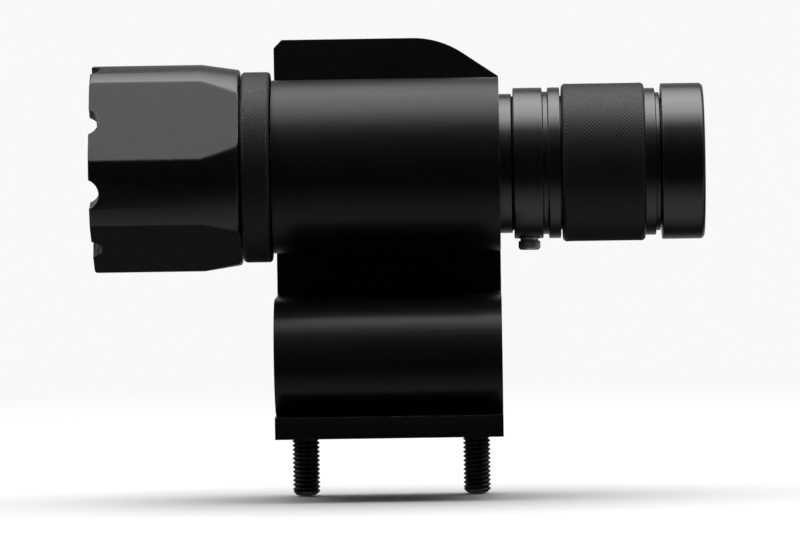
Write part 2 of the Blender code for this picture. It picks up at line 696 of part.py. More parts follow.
def make_cell(name, front, lamp):
    can_front = front + NUB_LENGTH
    rear = front + CELL_LENGTH
    edge_r = CELL_R - CELL_EDGE
    outline = [(front, 0), (front, NUB_R), (can_front, NUB_R), (can_front, edge_r)]
    outline += [(can_front + CELL_EDGE, CELL_R), (rear - CELL_EDGE, CELL_R), (rear, edge_r), (rear, 0)]
    turned(name, outline, CELL_SLEEVE, lamp)


def make_tail_cap(lamp):
    inner_shoulder = TUBE_REAR + GAP
    outline = [(CAP_FRONT, CAP_BORE_R)]
    outline += arc((CAP_FRONT + CAP_ROUND, CAP_R - CAP_ROUND), CAP_ROUND, 180, 90, 3)
    outline += arc((CAP_REAR - CAP_ROUND, CAP_R - CAP_ROUND), CAP_ROUND, 90, 0, 3)
    outline += [(CAP_REAR, NECK_R), (NECK_REAR, NECK_R), (NECK_REAR, GROOVE_R)]
    outline += [(RING_FRONT - GAP, GROOVE_R), (RING_FRONT - GAP, SPIGOT_R)]
    outline += grooved([SWITCH_SEAL_STATION], SPIGOT_R, SWITCH_SEAL_GROOVE)
    outline += [(SPIGOT_REAR, SPIGOT_R), (SPIGOT_REAR, SWITCH_POCKET_R)]
    outline += [(SWITCH_POCKET_FRONT, SWITCH_POCKET_R), (SWITCH_POCKET_FRONT, CELL_POCKET_R)]
    outline += [(inner_shoulder, CELL_POCKET_R), (inner_shoulder, CAP_BORE_R)]
    turned("tail_cap", outline, BLACK_ANODISE, lamp, FINE)
    seal("switch_seal", SWITCH_SEAL_STATION, SPIGOT_R - SWITCH_SEAL_GROOVE[0], SWITCH_SEAL_R, lamp)


def make_tail_ring(lamp):
    chamfer = 0.6 * MM
    chamber_front = SPIGOT_REAR + GAP
    bore_r = SPIGOT_R + FIT
    outline = [
        (RING_FRONT, bore_r),
        (RING_FRONT, TAIL_RING_R - chamfer / 2),
        (RING_FRONT + chamfer / 2, TAIL_RING_R),
        (TAIL_END - chamfer, TAIL_RING_R),
        (TAIL_END, TAIL_RING_R - chamfer),
        (TAIL_END, BUTTON_HOLE_R + chamfer),
        (TAIL_END - chamfer, BUTTON_HOLE_R),
        (BUTTON_LIP_FRONT, BUTTON_HOLE_R),
        (BUTTON_LIP_FRONT, FLANGE_R + 2 * FIT),
        (chamber_front, FLANGE_R + 2 * FIT),
        (chamber_front, bore_r),
    ]
    turned("tail_ring", outline, BLACK_ANODISE, lamp, FINE)


def make_switch(lamp):
    board_front = SWITCH_POCKET_FRONT + GAP
    board_rear = board_front + BOARD_THICK
    turned("switch_board", disc(board_front, board_rear, SWITCH_POCKET_R - FIT), BOARD, lamp)
    coil("tail_spring", CELL_REAR + GAP, board_front - GAP, TAIL_SPRING_R, lamp)
    front = board_rear + GAP
    size = (SWITCH_SIDE, SWITCH_SIDE, SWITCH_REAR - front)
    block = blocks("switch_block", size, [Matrix.Translation((0, 0, (front + SWITCH_REAR) / 2))])
    body = placed("switch_body", block.data, BLACK_PLASTIC, lamp)
    bpy.data.objects.remove(block)
    low, high = front + SWITCH_WALL, SWITCH_REAR + PAST
    combine(body, cylinders("plunger_hole", PLUNGER_R + FIT, low, high, [Matrix()], COARSE, lamp))
    inner_r = SWITCH_SIDE / math.sqrt(2) + 2 * FIT
    outline = tube_outline(front, SPIGOT_REAR, inner_r, SWITCH_POCKET_R - FIT)
    retainer = turned("switch_retainer", outline, BRASS, lamp)
    slots = [Matrix.Translation((side * SWITCH_POCKET_R, 0, SPIGOT_REAR)) for side in (-1, 1)]
    combine(retainer, blocks("retainer_slots", RETAINER_SLOT, slots, lamp))


def make_button(lamp):
    flange_rear = BUTTON_LIP_FRONT - GAP
    flange_front = flange_rear - FLANGE_THICK
    hollow_r = SWITCH_SIDE / math.sqrt(2) + FIT
    hollow_rear = BUTTON_FACE - BUTTON_WALL
    hollow_end_r = hollow_r - 0.4 * MM
    edge = 0.5 * MM
    outline = [
        (hollow_rear, 0),
        (hollow_rear, hollow_end_r),
        (flange_front, hollow_r),
        (flange_front, FLANGE_R),
        (flange_rear, FLANGE_R),
        (flange_rear, BUTTON_R),
        (BUTTON_FACE - edge, BUTTON_R),
        (BUTTON_FACE, BUTTON_R - edge),
        (BUTTON_FACE, 0),
    ]
    turned("switch_boot", outline, RUBBER, lamp)
    turned("switch_plunger", disc(PLUNGER_FRONT, hollow_rear - GAP, PLUNGER_R), WHITE, lamp)


def make_lamp():
    """Everything that turns with the lamp in the clip's ring, drawn along the lamp axis."""
    lamp = axis_empty("lamp_axis", (0, LAMP_Y, LAMP_Z), (0, QUARTER, 0))
    make_bezel(lamp)
    make_lens(lamp)
    make_reflector(lamp)
    make_led(lamp)
    make_led_board(lamp)
    make_led_wire("led_wire_positive", -1, RED_WIRE, lamp)
    make_led_wire("led_wire_negative", 1, BLACK_WIRE, lamp)
    make_heat_sink(lamp)
    make_driver(lamp)
    make_head_housing(lamp)
    make_battery_tube(lamp)
    make_cell("cell_front", CELL_FRONT, lamp)
    make_cell("cell_rear", CELL_MIDDLE, lamp)
    make_stop_collar(lamp)
    make_lock_screw()
    make_tail_cap(lamp)
    make_tail_ring(lamp)
    make_switch(lamp)
    make_button(lamp)


clear_scene()
parts = new_collection("firefighter_flashlight")
cutters = new_collection("cutters")
make_clip()
for end, side in (("front", -1), ("rear", 1)):
    make_clamp_screw("clamp_screw_" + end, side * CLAMP_STATION)
    make_clamp_pad("clamp_pad_" + end, side * CLAMP_STATION)
make_lamp()
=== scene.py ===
"""Looks of the firefighter's flashlight: fine pieces, materials, light and camera.

Lengths are in metres in the frame's own axes. A turned piece is drawn as (station, radius)
pairs, where a station is a distance along the piece's own axis.
"""

import json
import math

import bmesh
import bpy
from mathutils import Matrix, Vector


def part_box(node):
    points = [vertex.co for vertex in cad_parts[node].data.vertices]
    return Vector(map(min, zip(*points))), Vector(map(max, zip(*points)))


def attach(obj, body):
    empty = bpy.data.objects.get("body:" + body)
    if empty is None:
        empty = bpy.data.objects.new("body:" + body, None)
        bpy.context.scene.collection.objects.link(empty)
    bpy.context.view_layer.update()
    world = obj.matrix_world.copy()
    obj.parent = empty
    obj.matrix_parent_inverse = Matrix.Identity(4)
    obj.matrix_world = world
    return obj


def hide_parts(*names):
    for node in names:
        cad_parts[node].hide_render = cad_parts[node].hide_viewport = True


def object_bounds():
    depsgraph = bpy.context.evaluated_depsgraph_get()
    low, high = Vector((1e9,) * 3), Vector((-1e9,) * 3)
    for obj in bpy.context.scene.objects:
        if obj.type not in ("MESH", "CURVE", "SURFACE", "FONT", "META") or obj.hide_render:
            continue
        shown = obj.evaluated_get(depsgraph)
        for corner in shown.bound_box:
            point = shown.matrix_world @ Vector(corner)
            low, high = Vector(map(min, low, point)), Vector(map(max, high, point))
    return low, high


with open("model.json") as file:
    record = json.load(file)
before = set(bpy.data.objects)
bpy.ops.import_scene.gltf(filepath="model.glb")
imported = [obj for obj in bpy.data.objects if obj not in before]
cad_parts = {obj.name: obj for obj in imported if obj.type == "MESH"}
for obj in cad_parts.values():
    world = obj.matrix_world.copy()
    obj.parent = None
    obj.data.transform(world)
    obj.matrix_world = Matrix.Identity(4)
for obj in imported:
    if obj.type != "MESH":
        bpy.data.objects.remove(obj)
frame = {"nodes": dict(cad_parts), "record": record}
CAD_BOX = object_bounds()

MM = 0.001
QUARTER = math.pi / 2
GAP = 0.3 * MM  # between two pieces that rest on each other
FIT = 0.25 * MM  # radial clearance where one piece turns or slides in another
SMOOTH = 160  # sides of a plain turned piece
EDGE = 0.25 * MM  # usual size of a broken edge
SKIN = 0.01 * MM  # a point this close under a surface still counts as on it
WELD = 1e-7  # points closer than this are one
SHARP = math.radians(38)  # a steeper fold than this is shaded as an edge
FLAT_TURN = math.radians(-122)  # direction of the bezel's first flat about the lamp

RECORD = frame["record"]
BODY_OF = {node: body for body, nodes in RECORD["behaviour"]["bodies"].items() for node in nodes}
COUPLINGS = {row["joint"]: row["ratio"] for row in RECORD["behaviour"]["couplings"]}


def middle(node):
    """Centre of a CAD node's box."""
    low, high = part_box(node)
    return (low + high) / 2


def ends(node, axis=0):
    """Where a CAD node starts and stops along an axis, the lamp's unless another is named."""
    low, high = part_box(node)
    return low[axis], high[axis]


def outer(node, axis=1):
    """Radius of a round node, from its width."""
    low, high = ends(node, axis)
    return (high - low) / 2


def pitch(joint):
    """How far a screwing joint's thread moves it in one turn."""
    return math.tau / COUPLINGS[joint]


LAMP = middle("battery_tube")
ALONG_LAMP = Matrix.Translation((0, LAMP.y, LAMP.z)) @ Matrix.Rotation(QUARTER, 4, "Y")


def upright(node):
    """The vertical axis through a node, with stations measured from height zero."""
    centre = middle(node)
    return Matrix.Translation((centre.x, centre.y, 0))


# ---------------------------------------------------------------- outlines


def arc(centre, radius, start, end, steps):
    """Points on a circle from one angle to another, in degrees, both ends included."""
    turns = [math.radians(start + (end - start) * i / steps) for i in range(steps + 1)]
    return [(centre[0] + radius * math.cos(t), centre[1] + radius * math.sin(t)) for t in turns]


def bend(before, corner, after, steps=5):
    """A smooth curve from before to after that leans on the corner."""
    points = []
    for i in range(steps + 1):
        u = i / steps
        weights = ((1 - u) ** 2, 2 * u * (1 - u), u**2)
        points.append(tuple(sum(w * p[k] for w, p in zip(weights, (before, corner, after))) for k in (0, 1)))
    return points


def towards(start, end, length):
    """The point a length on from start, but never as far as halfway to end."""
    gap = math.dist(start, end)
    share = min(length / gap, 0.45) if gap else 0
    return tuple(a + (b - a) * share for a, b in zip(start, end))


def rounded(outline, size=EDGE, steps=4):
    """The outline with its corners rounded. One whose ends are on the axis stays open there."""
    solid = outline[0][1] == 0 and outline[-1][1] == 0
    count = len(outline)
    points = []
    for i, corner in enumerate(outline):
        before, after = outline[i - 1], outline[(i + 1) % count]
        if solid and i in (0, count - 1):
            points.append(corner)
            continue
        angle = fold_at(before, corner, after)
        if angle < math.radians(12):
            points.append(corner)
            continue
        points += bend(towards(corner, before, size), corner, towards(corner, after, size), steps)
    return points


def fold_at(before, corner, after):
    """Angle that the outline turns through at a corner."""
    into = Vector(corner) - Vector(before)
    out = Vector(after) - Vector(corner)
    if min(into.length, out.length) < WELD:
        return 0
    return into.angle(out)


def divided(outline, low, high, step):
    """The outline with its stretches between two stations cut into short steps."""
    points = []
    for start, end in zip(outline, outline[1:] + outline[:1]):
        points.append(start)
        inside = low - step < start[0] < high + step and low - step < end[0] < high + step
        cuts = round(abs(end[0] - start[0]) / step) if inside else 0
        points += [tuple(a + (b - a) * i / cuts for a, b in zip(start, end)) for i in range(1, cuts)]
    return points


# ---------------------------------------------------------------- surface shapes


def triangle_wave(value):
    """1 at whole numbers and 0 halfway between them."""
    return abs(1 - 2 * (value % 1))


def soft_low(a, b, blend):
    """The lower of two values, with a rounded change from one to the other."""
    share = max(0, min(1, 0.5 + (b - a) / (2 * blend)))
    return b + (a - b) * share - blend * share * (1 - share)


def knurl(start, end, across, lead, depth, surface):
    """Pyramids in a diamond pattern, cut into the surface between two stations."""

    def shape(station, radius, turn):
        if not start <= station <= end or radius < surface - SKIN:
            return station, radius
        u = turn / math.tau * across
        v = (station - start) / lead
        height = min(triangle_wave(u + v), triangle_wave(u - v))
        return station, radius - depth * (1 - height)

    return shape


def thread(start, end, lead, depth, surface):
    """A right-hand thread, cut into the surface between two stations.

    It runs out over one turn at each end, and a fifth of its pitch is flat on top.
    """

    def shape(station, radius, turn):
        if not start <= station <= end or radius < surface - SKIN:
            return station, radius
        ramp = min(1, (station - start) / lead, (end - station) / lead)
        height = min(1, 1.25 * triangle_wave(station / lead - turn / math.tau))
        return station, radius - depth * ramp * (1 - height)

    return shape


def both(*shapes):
    """Several surface shapes, one after the other."""

    def shape(station, radius, turn):
        for change in shapes:
            station, radius = change(station, radius, turn)
        return station, radius

    return shape


# ---------------------------------------------------------------- meshes


def finished(name, mesh):
    """A shaded object from a bmesh."""
    bmesh.ops.remove_doubles(mesh, verts=mesh.verts, dist=WELD)
    bmesh.ops.recalc_face_normals(mesh, faces=mesh.faces)
    data = bpy.data.meshes.new(name)
    mesh.to_mesh(data)
    mesh.free()
    data.shade_smooth()
    data.set_sharp_from_angle(angle=SHARP)
    made = bpy.data.objects.new(name, data)
    bpy.context.scene.collection.objects.link(made)
    return made


def turned(name, outline, place, sides=SMOOTH, shape=None):
    """An outline turned about its place's Z axis. The shape function moves each point."""
    mesh = bmesh.new()
    rows = []
    for side in range(sides):
        turn = math.tau * side / sides
        row = []
        for station, radius in outline:
            if shape:
                station, radius = shape(station, radius, turn)
            point = Vector((radius * math.cos(turn), radius * math.sin(turn), station))
            row.append(mesh.verts.new(place @ point))
        rows.append(row)
    solid = outline[0][1] == 0 and outline[-1][1] == 0
    strips = len(outline) - 1 if solid else len(outline)
    for row, after in zip(rows, rows[1:] + rows[:1]):
        for i in range(strips):
            j = (i + 1) % len(outline)
            mesh.faces.new((row[i], row[j], after[j], after[i]))
    return finished(name, mesh)


def section_curve(name, loops, length):
    """Flat outlines given a thickness about their own plane. The first is the edge, the rest are holes."""
    curve = bpy.data.curves.new(name, "CURVE")
    curve.dimensions = "2D"
    curve.fill_mode = "BOTH"
    curve.extrude = length / 2
    for loop in loops:
        spline = curve.splines.new("POLY")
        spline.points.add(len(loop) - 1)
        for point, (x, y) in zip(spline.points, loop):
            point.co = (x, y, 0, 1)
        spline.use_cyclic_u = True
    made = bpy.data.objects.new(name, curve)
    bpy.context.scene.collection.objects.link(made)
    return made


def realised(name, item):
    """The object's evaluated mesh in world space, as a new shaded object."""
    bpy.context.view_layer.update()
    graph = bpy.context.evaluated_depsgraph_get()
    data = bpy.data.meshes.new_from_object(item.evaluated_get(graph))
    data.transform(item.matrix_world)
    bpy.data.objects.remove(item)
    mesh = bmesh.new()
    mesh.from_mesh(data)
    return finished(name, mesh)


def applied(item):
    """The item with its modifiers made real, under the same name."""
    name = item.name
    made = realised(name + "_applied", item)
    made.name = name
    return made


def combined(item, others, operation):
    """The item after a Boolean operation with each of the others, which are used up."""
    for other in others:
        boolean = item.modifiers.new(other.name, "BOOLEAN")
        boolean.operation = operation
        boolean.object = other
    made = applied(item)
    for other in others:
        bpy.data.objects.remove(other)
    return made


def cut(item, *tools):
    return combined(item, tools, "DIFFERENCE")


def joined(item, *others):
    return combined(item, others, "UNION")


def softened(item, width):
    """The item with its folds rounded off."""
    bevel = item.modifiers.new("soft", "BEVEL")
    bevel.width = width
    bevel.segments = 3
    bevel.limit_method = "ANGLE"
    bevel.angle_limit = SHARP
    bevel.use_clamp_overlap = True
    return applied(item)


def prism(name, radius, low, high, place, sides):
    """A bar with a number of sides, between two stations."""
    mesh = bmesh.new()
    bmesh.ops.create_cone(
        mesh,
        cap_ends=True,
        segments=sides,
        radius1=radius,
        radius2=radius,
        depth=high - low,
        matrix=place @ Matrix.Translation((0, 0, (low + high) / 2)),
    )
    return finished(name, mesh)


def block(name, size, place):
    """A box about its place's origin."""
    mesh = bmesh.new()
    bmesh.ops.create_cube(mesh, size=1, matrix=place @ Matrix.Diagonal((*size, 1)))
    return finished(name, mesh)


def ring(name, station, middle_r, section_r, place, sides=96):
    """A ring with a round section."""
    loop = arc((0, 0), 1, 0, 345, 23)
    outline = [(station + section_r * x, middle_r + section_r * y) for x, y in loop]
    return turned(name, outline, place, sides)


def wire(name, points, radius, place):
    """A round wire along a row of points."""
    curve = bpy.data.curves.new(name, "CURVE")
    curve.dimensions = "3D"
    curve.bevel_depth = radius
    curve.bevel_resolution = 4
    curve.use_fill_caps = True
    spline = curve.splines.new("POLY")
    spline.points.add(len(points) - 1)
    for point, spot in zip(spline.points, points):
        point.co = (*(place @ Vector(spot)), 1)
    made = bpy.data.objects.new(name + "_curve", curve)
    bpy.context.scene.collection.objects.link(made)
    return realised(name, made)


def stand_in(piece, node, material):
    """The piece takes the place of a CAD node, on the node's body and with a material."""
    piece.data.materials.clear()
    piece.data.materials.append(material)
    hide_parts(node)
    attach(piece, BODY_OF[node])


# ---------------------------------------------------------------- materials


def give(tree, goal, value):
    """Links another node's output to an input, or sets the input to a plain value."""
    if isinstance(value, bpy.types.NodeSocket):
        tree.links.new(value, goal)
    else:
        goal.default_value = value


def add(tree, kind, inputs=None, **settings):
    """A new shader node with its inputs and settings."""
    node = tree.nodes.new("ShaderNode" + kind)
    for key, value in settings.items():
        setattr(node, key, value)
    for key, value in (inputs or {}).items():
        give(tree, node.inputs[key], value)
    return node


def new_material(name):
    """A material with its node tree and its Principled shader."""
    made = bpy.data.materials.new(name)
    made.use_nodes = True
    return made, made.node_tree, made.node_tree.nodes["Principled BSDF"]


def feed(tree, shader, **values):
    """Sets the shader's inputs, named with underscores for spaces."""
    for key, value in values.items():
        give(tree, shader.inputs[key.replace("_", " ")], value)


def places(tree, stretch=(1, 1, 1)):
    """Object coordinates in metres, stretched along each axis."""
    where = add(tree, "TexCoord")
    return add(tree, "Mapping", {"Vector": where.outputs["Object"], "Scale": stretch}).outputs["Vector"]


def grain(tree, size, detail, stretch=(1, 1, 1)):
    """Noise from 0 to 1 whose spots are about the given size."""
    inputs = {"Vector": places(tree, stretch), "Scale": 1 / size, "Detail": detail}
    return add(tree, "TexNoise", inputs).outputs["Fac"]


def ranged(tree, value, low, high, start=0.35, end=0.65):
    """Low where the value is at start or under, high where it is at end or over."""
    inputs = {"Value": value, "From Min": start, "From Max": end, "To Min": low, "To Max": high}
    return add(tree, "MapRange", inputs).outputs["Result"]


def mixed(tree, share, first, second):
    """A colour between two, by the share."""
    node = add(tree, "Mix", data_type="RGBA")
    from_colour, to_colour, result = node.inputs[6], node.inputs[7], node.outputs[2]
    for goal, value in ((node.inputs[0], share), (from_colour, first), (to_colour, second)):
        give(tree, goal, value)
    return result


def times(tree, first, second):
    return add(tree, "Math", {0: first, 1: second}, operation="MULTIPLY").outputs[0]


def grey(level, warm=0.0):
    """A grey, pulled towards red by a positive warmth and towards blue by a negative one."""
    return (level * (1 + warm), level, level * (1 - warm), 1)


def worn_edges(tree, width):
    """1 on the folds of a piece and 0 on its faces, broken up by noise."""
    soft = add(tree, "Bevel", {"Radius": width}, samples=4).outputs["Normal"]
    hard = add(tree, "NewGeometry").outputs["Normal"]
    dot = add(tree, "VectorMath", {0: soft, 1: hard}, operation="DOT_PRODUCT").outputs["Value"]
    fold = ranged(tree, dot, 1.0, 0.0, 0.80, 0.985)
    return times(tree, fold, ranged(tree, grain(tree, 1.6 * MM, 4), 0.0, 1.0, 0.42, 0.62))


def rough_bump(tree, size, height, stretch=(1, 1, 1), detail=3.0):
    """A normal for a surface with grains of a size and a height."""
    fac = grain(tree, size, detail, stretch)
    return add(tree, "Bump", {"Height": fac, "Distance": height, "Strength": 1.0}).outputs["Normal"]


def anodised(name, level, roughness, shine, spot, height, stretch=(1, 1, 1), wear=0.6):
    """Black anodised aluminium, a little bare metal showing on its edges.

    Level is how bright the dye is, and shine the strength of its reflection. Spot and height are
    the size of the grains in its surface, and stretch draws them out.
    """
    made, tree, shader = new_material(name)
    cloud = grain(tree, 9 * MM, 3)
    colour = mixed(tree, cloud, grey(level * 0.8, -0.02), grey(level * 1.25, 0.03))
    scuffs = ranged(tree, grain(tree, 2.2 * MM, 5, (1, 2.5, 2.5)), 0.0, 1.0, 0.66, 0.84)
    colour = mixed(tree, times(tree, scuffs, 0.06), colour, grey(level * 6))
    worn = times(tree, worn_edges(tree, 0.35 * MM), wear)
    colour = mixed(tree, worn, colour, grey(0.28, 0.02))
    rough = ranged(tree, grain(tree, 0.9 * MM, 4, stretch), roughness * 0.92, roughness * 1.1)
    feed(
        tree,
        shader,
        Base_Color=colour,
        Metallic=worn,
        Roughness=rough,
        Specular_IOR_Level=shine,
        Normal=rough_bump(tree, spot, height, stretch),
    )
    return made


def metal(name, colour, roughness, spot, height, stretch=(1, 1, 1), dark=0.6):
    """Bare or plated metal, with faint tool marks and darker patches."""
    made, tree, shader = new_material(name)
    shade = tuple(part * dark for part in colour[:3]) + (1,)
    tone = mixed(tree, ranged(tree, grain(tree, 1.5 * MM, 4), 0.0, 1.0), shade, colour)
    rough = ranged(tree, grain(tree, 0.5 * MM, 3, stretch), roughness * 0.7, roughness * 1.3)
    bump = rough_bump(tree, spot, height, stretch)
    feed(tree, shader, Base_Color=tone, Metallic=1.0, Roughness=rough, Normal=bump)
    return made


def plastic(name, colour, roughness, spot=0.15 * MM, height=0.01 * MM, dust=0.0):
    """Moulded plastic or rubber, with a fine skin and a little dust in it."""
    made, tree, shader = new_material(name)
    pale = tuple(part * 0.8 + 0.2 * dust for part in colour[:3]) + (1,)
    tone = mixed(tree, ranged(tree, grain(tree, 1.2 * MM, 5), 0.0, 1.0), colour, pale)
    rough = ranged(tree, grain(tree, 0.6 * MM, 3), roughness * 0.85, min(1, roughness * 1.15))
    feed(tree, shader, Base_Color=tone, Roughness=rough, Normal=rough_bump(tree, spot, height))
    return made


def clear_glass(name):
    """Coated lens glass: mostly see-through, with a faint tinted reflection and a few specks."""
    made, tree, shader = new_material(name)
    specks = ranged(tree, grain(tree, 0.5 * MM, 2), 0.02, 0.06, 0.68, 0.80)
    feed(tree, shader, Base_Color=(0.06, 0.08, 0.12, 1), Roughness=specks, IOR=1.5)
    see_through = add(tree, "BsdfTransparent", {"Color": (0.95, 0.98, 0.97, 1)})
    slant = add(tree, "LayerWeight", {"Blend": 0.5}).outputs["Facing"]
    gloss = add(tree, "Math", {0: slant, 1: 5.0}, operation="POWER").outputs[0]
    share = ranged(tree, gloss, 0.04, 1.0, 0.0, 1.0)
    mix = add(tree, "MixShader", {0: share, 1: see_through.outputs[0], 2: shader.outputs[0]})
    output = tree.nodes["Material Output"]
    tree.links.new(mix.outputs[0], output.inputs["Surface"])
    return made


def mirror_coat(name):
    """Vapour-coated metal, with the slight waves of the part under it."""
    made, tree, shader = new_material(name)
    tone = mixed(tree, grain(tree, 3 * MM, 3), (0.86, 0.87, 0.88, 1), (0.95, 0.95, 0.94, 1))
    bump = rough_bump(tree, 0.7 * MM, 0.012 * MM, detail=0.5)
    feed(tree, shader, Base_Color=tone, Metallic=1.0, Roughness=0.07, Normal=bump)
    return made


def phosphor(name):
    """The emitter's yellow square under a clear coat. Its dome and its base, which is pale ceramic, get the
    same yellow.
    """
    made, tree, shader = new_material(name)
    spots = ranged(tree, grain(tree, 0.2 * MM, 2), 0.0, 1.0)
    tone = mixed(tree, spots, (0.85, 0.62, 0.08, 1), (0.95, 0.80, 0.22, 1))
    feed(tree, shader, Base_Color=tone, Roughness=0.25, Coat_Weight=1.0, Coat_Roughness=0.03)
    return made


def circuit(name, mask, trace):
    """A printed board: solder mask over faint copper tracks."""
    made, tree, shader = new_material(name)
    cells = add(tree, "TexBrick", {"Vector": places(tree), "Scale": 420.0, "Mortar Size": 0.03})
    cells.inputs["Color1"].default_value = mask
    cells.inputs["Color2"].default_value = tuple(part * 0.85 for part in mask[:3]) + (1,)
    cells.inputs["Mortar"].default_value = trace
    bump = rough_bump(tree, 0.4 * MM, 0.01 * MM)
    feed(tree, shader, Base_Color=cells.outputs["Color"], Roughness=0.42, Normal=bump)
    return made


def cell_wrap(name):
    """A shrink sleeve in two plain bands, without print."""
    made, tree, shader = new_material(name)
    along = add(tree, "SeparateXYZ", {0: places(tree)}).outputs["X"]
    bands = add(tree, "Math", {0: along, 1: 34.8 * MM}, operation="MODULO").outputs[0]
    share = ranged(tree, bands, 0.0, 1.0, 10.0 * MM, 10.4 * MM)
    tone = mixed(tree, share, (0.55, 0.56, 0.58, 1), (0.03, 0.09, 0.22, 1))
    tone = mixed(tree, times(tree, grain(tree, 2 * MM, 4), 0.25), tone, grey(0.02))
    bump = rough_bump(tree, 1.2 * MM, 0.02 * MM)
    feed(tree, shader, Base_Color=tone, Roughness=0.28, Normal=bump)
    return made


ALONG = (0.03, 1, 1)  # grain drawn out along the lamp, as an extrusion has
AROUND = (1, 0.03, 0.03)  # grain drawn out around the lamp, as a lathe leaves

CLIP_BLACK = anodised("clip_anodise", 0.005, 0.32, 0.2, 0.22 * MM, 0.001 * MM, ALONG, 0.3)
BEZEL_BLACK = anodised("bezel_anodise", 0.0025, 0.27, 0.5, 0.18 * MM, 0.0008 * MM, wear=0.4)
KNURL_BLACK = anodised("knurl_anodise", 0.0105, 0.46, 0.2, 0.12 * MM, 0.004 * MM, wear=0.25)
TURNED_BLACK = anodised("turned_anodise", 0.003, 0.24, 0.6, 0.16 * MM, 0.004 * MM, AROUND, 0.3)
BLACK_OXIDE = metal("black_oxide", (0.045, 0.043, 0.04, 1), 0.42, 0.2 * MM, 0.006 * MM)
STAINLESS = metal("stainless", (0.62, 0.61, 0.59, 1), 0.52, 0.15 * MM, 0.006 * MM)
SPRING = metal("spring_steel", (0.62, 0.60, 0.55, 1), 0.25, 0.2 * MM, 0.004 * MM)
BRASS = metal("brass_ring", (0.72, 0.53, 0.22, 1), 0.32, 0.2 * MM, 0.004 * MM, AROUND)
BARE = metal("bare_aluminium", (0.72, 0.73, 0.75, 1), 0.34, 0.2 * MM, 0.006 * MM, AROUND, 0.85)
RUBBER = plastic("black_rubber", (0.012, 0.012, 0.012, 1), 0.62, 0.12 * MM, 0.012 * MM, 0.25)
NYLON = plastic("black_nylon", (0.018, 0.018, 0.019, 1), 0.48)
WHITE = plastic("white_plastic", (0.78, 0.77, 0.74, 1), 0.45)
RED = plastic("red_insulation", (0.50, 0.03, 0.02, 1), 0.42)
BLACK = plastic("black_insulation", (0.015, 0.015, 0.015, 1), 0.42)
GLASS = clear_glass("coated_glass")
MIRROR = mirror_coat("reflector_coat")
PHOSPHOR = phosphor("led_phosphor")
BOARD = circuit("green_board", (0.02, 0.13, 0.05, 1), (0.05, 0.22, 0.08, 1))
LED_BOARD = circuit("white_board", (0.75, 0.75, 0.72, 1), (0.60, 0.60, 0.56, 1))
SLEEVE = cell_wrap("cell_sleeve")


# ---------------------------------------------------------------- clip

RING_BORE_R = outer("battery_tube") + FIT
RING_R = RING_BORE_R + 2.85 * MM
JAW_WALL = 3.0 * MM
JAW_GAP = 15.2 * MM
ARM_SHORT = 1.8 * MM  # how far the lower arm ends before the plate's back
LEDGE_FRONT = 9.8 * MM  # of the lower arm's edge outwards from the jaw's centre line
LEDGE_DROP = 10.5 * MM  # of the ledge's top face below the jaw's centre line
PLATE_THICK = 3.5 * MM
PLATE_FLAT_END = 4.9 * MM  # station where the top edge starts to fall
PLATE_CURVE_R = 16.4 * MM
PLATE_SLOPE = 34  # degrees that the top edge slopes after its curve
PLATE_CHAMFER = 1.5 * MM
FILLET = 1.2 * MM  # where the plate meets the ring and the jaw


def clip_section():
    """The clip's outline across the lamp, as (y, z) pairs, starting at the plate's top."""
    low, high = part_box("clip")
    back, top, bottom = high.y, high.z, low.z
    front = back - PLATE_THICK
    inner_r = JAW_GAP / 2
    outer_r = inner_r + JAW_WALL
    jaw = (LAMP.y - RING_R + outer_r, -inner_r)
    meet = math.degrees(math.acos((front - LAMP.y) / RING_R))
    leave = meet + math.degrees(FILLET / RING_R)
    meeting = RING_R * math.sin(math.radians(meet))
    loop = arc((LAMP.y, LAMP.z), RING_R, leave, 360 - leave, 120)
    upper, lower = (front, LAMP.z + meeting), (front, LAMP.z - meeting)
    outline = [(back, top), (front, top)]
    outline += bend((front, upper[1] + FILLET), upper, loop[0])
    outline += loop[1:-1]
    outline += bend(loop[-1], lower, (front, lower[1] - FILLET))
    arm = (front, JAW_WALL)
    outline += bend((front, JAW_WALL + FILLET), arm, (front - FILLET, JAW_WALL))
    drop = math.degrees(math.asin(LEDGE_DROP / outer_r))
    outline += arc(jaw, outer_r, 90, 180 + drop, 60)
    ledge = jaw[0] - LEDGE_FRONT
    outline += [(ledge, jaw[1] - LEDGE_DROP), (ledge, bottom)]
    outline += [(back - ARM_SHORT, bottom), (back - ARM_SHORT, -JAW_GAP)]
    outline += arc(jaw, inner_r, 270, 90, 56)
    outline += [(back, 0)]
    return outline


def plate_corner():
    """What is taken off the plate's rear top corner, as (x, z) pairs: a curve, then a slope."""
    low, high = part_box("clip")
    centre = (PLATE_FLAT_END, high.z - PLATE_CURVE_R)
    curve = arc(centre, PLATE_CURVE_R, 90, 90 - PLATE_SLOPE, 24)
    side, above = high.x + MM, high.z + MM
    fall = (side - curve[-1][0]) * math.tan(math.radians(PLATE_SLOPE))
    return curve + [(side, curve[-1][1] - fall), (side, above), (PLATE_FLAT_END, above)]


